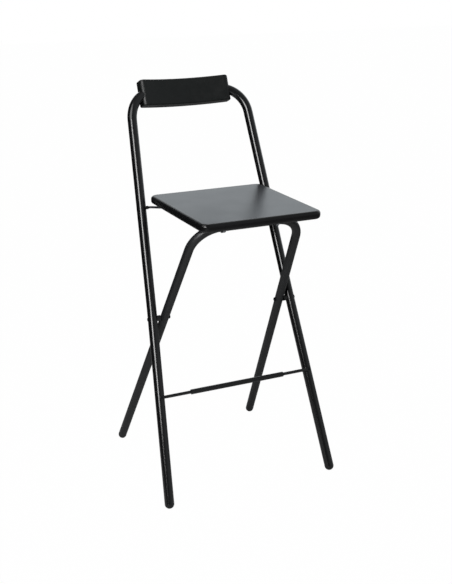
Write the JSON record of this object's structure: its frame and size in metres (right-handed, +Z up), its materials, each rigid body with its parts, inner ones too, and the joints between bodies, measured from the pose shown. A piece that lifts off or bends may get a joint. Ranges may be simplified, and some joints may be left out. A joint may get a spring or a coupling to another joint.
{
  "type": "folding bar stool",
  "caption": "Folding bar stool with a square seat, a bowed backrest on a bent tube hoop, crossing tube legs and a footrest bar.",
  "frame": {"origin": "on the floor under the middle of the stool's overall box", "axes": "+Z up, the front of the seat faces -Y, +X to the right of someone who looks along +Y at the front; left and right in names are meant that way"},
  "size_m": [0.5038, 0.5122, 1.0415],
  "materials": {
    "gloss_black_paint": "gloss",
    "dark_grey_paint": "satin",
    "black_plastic": "satin",
    "backrest_plastic": "satin",
    "seat_laminate": "satin",
    "seat_edging": "gloss",
    "zinc_plate": "satin",
    "dark_steel": "satin"
  },
  "bodies": {
    "outer_frame": {"outer_frame_tube": "gloss_black_paint", "front_foot_left": "black_plastic", "front_foot_right": "black_plastic", "backrest_front_shell": "backrest_plastic", "backrest_rear_shell": "backrest_plastic", "backrest_screws": "zinc_plate", "footrest_rod": "gloss_black_paint", "footrest_sleeve": "black_plastic", "footrest_rivets": "dark_steel", "pivot_rivet_left": "dark_steel", "pivot_rivet_right": "dark_steel", "pivot_spacer_left": "black_plastic", "pivot_spacer_right": "black_plastic", "pivot_washer_left": "dark_steel", "pivot_washer_right": "dark_steel", "stay_bush_left": "black_plastic", "stay_bush_right": "black_plastic"},
    "inner_frame": {"inner_frame_tube": "dark_grey_paint", "rear_foot_left": "black_plastic", "rear_foot_right": "black_plastic"},
    "seat": {"seat_board": "seat_laminate", "seat_edge_trim": "seat_edging", "seat_hinge_clip_left": "zinc_plate", "seat_hinge_clip_right": "zinc_plate", "seat_hinge_screws": "zinc_plate", "seat_guide_bracket": "zinc_plate", "seat_guide_screws": "zinc_plate"},
    "stay": {"stay_wire": "dark_steel"}
  },
  "joints": [
    {"name": "frame_fold", "type": "hinge", "parent": "outer_frame", "child": "inner_frame", "pos_m": [0, -0.02226, 0.45578], "axis": [-1, 0, 0], "range_deg": [0, 50]},
    {"name": "seat_hinge", "type": "hinge", "parent": "inner_frame", "child": "seat", "pos_m": [0, -0.17528, 0.72722], "axis": [1, 0, 0], "range_deg": [0, 119]},
    {"name": "stay_swing", "type": "hinge", "parent": "outer_frame", "child": "stay", "pos_m": [0, 0.0873, 0.72607], "axis": [-1, 0, 0], "range_deg": [0, 104]}
  ],
  "couplings": [
    {"joint": "seat_hinge", "follows": "frame_fold", "ratio": 2.38},
    {"joint": "stay_swing", "follows": "frame_fold", "ratio": 2.08}
  ]
}
